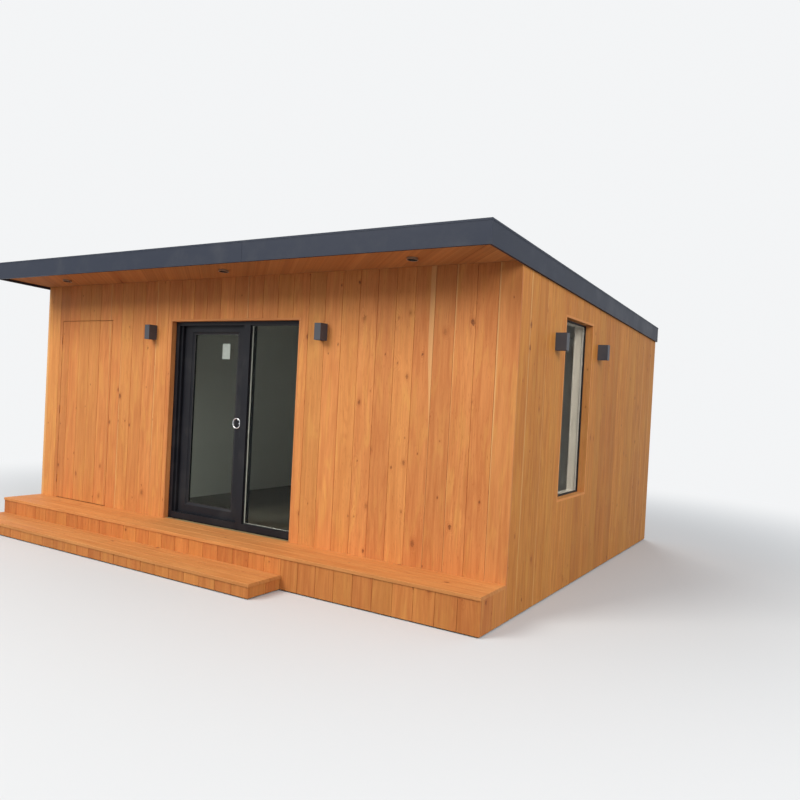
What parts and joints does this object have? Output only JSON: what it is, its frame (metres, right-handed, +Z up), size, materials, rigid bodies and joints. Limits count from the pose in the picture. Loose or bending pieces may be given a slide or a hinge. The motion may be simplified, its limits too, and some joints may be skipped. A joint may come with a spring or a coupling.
{
  "type": "garden office pod",
  "caption": "Timber-clad garden office pod with a single-pitch roof, a glazed door and side pane, a hidden storage door, a tall window, deck and step.",
  "frame": {"origin": "ground level under the middle of the walls' outside footprint", "axes": "+Z up; +X along the front, to the right when facing the door; the front faces -Y"},
  "size_m": [6.122, 5.449, 2.944],
  "materials": {
    "cladding": "oiled",
    "deck_boards": "oiled",
    "soffit": "oiled",
    "reveal_timber": "sawn",
    "white_lining": "matt paint",
    "treated_timber": "sawn",
    "floor_finish": "satin",
    "roof_covering": "matt",
    "fascia_metal": "satin",
    "frame_profile": "satin",
    "glazing": "clear",
    "hinge_steel": "brushed",
    "handle_plate": "satin",
    "handle_chrome": "polished",
    "lamp_housing": "satin",
    "rainwater": "satin"
  },
  "bodies": {
    "pod": {"bearers": "treated_timber", "rim_joists": "treated_timber", "joists": "treated_timber", "floor": "floor_finish", "front_wall": "white_lining", "front_wall_heads": "white_lining", "left_wall": "white_lining", "rear_wall": "white_lining", "right_wall": "white_lining", "right_wall_window": "white_lining", "partition_wall": "white_lining", "front_cladding": "cladding", "left_cladding": "cladding", "rear_cladding": "cladding", "right_cladding": "cladding", "ceiling": "white_lining", "roof_panel": "treated_timber", "roof_membrane": "roof_covering", "edge_trim": "fascia_metal", "fascia_front": "fascia_metal", "fascia_sides": "fascia_metal", "fascia_rear": "fascia_metal", "soffit": "soffit", "downlights": "lamp_housing", "gutter_base": "rainwater", "gutter_sides": "rainwater", "gutter_ends": "rainwater", "downpipe": "rainwater", "downpipe_brackets": "rainwater", "door_frame": "frame_profile", "door_lining": "reveal_timber", "sidelight_glass": "glazing", "frame_hinges": "hinge_steel", "storage_lining": "reveal_timber", "window_lining": "reveal_timber", "window_frame": "white_lining", "window_glass": "glazing", "wall_lamps": "lamp_housing", "deck_boards": "deck_boards", "deck_skirt": "cladding"},
    "glazed_door": {"door_leaf": "frame_profile", "door_glass": "glazing", "door_hinges": "hinge_steel", "door_plates": "handle_plate"},
    "lever": {"door_lever": "handle_chrome"},
    "storage_leaf": {"storage_door": "cladding", "storage_hinges": "hinge_steel"}
  },
  "joints": [
    {"name": "door_hinge", "type": "hinge", "parent": "pod", "child": "glazed_door", "pos_m": [-0.778, -2.068, 1.337], "axis": [0, 0, 1], "range_deg": [0, 90]},
    {"name": "lever_turn", "type": "hinge", "parent": "glazed_door", "child": "lever", "pos_m": [0.085, -2.11, 1.34], "axis": [0, -1, 0], "range_deg": [0, 40], "stiffness_Nm_per_rad": 2, "springref_deg": -34.38},
    {"name": "storage_hinge", "type": "hinge", "parent": "pod", "child": "storage_leaf", "pos_m": [-2.708, -2.257, 1.332], "axis": [0, 0, 1], "range_deg": [-100, 0]}
  ]
}
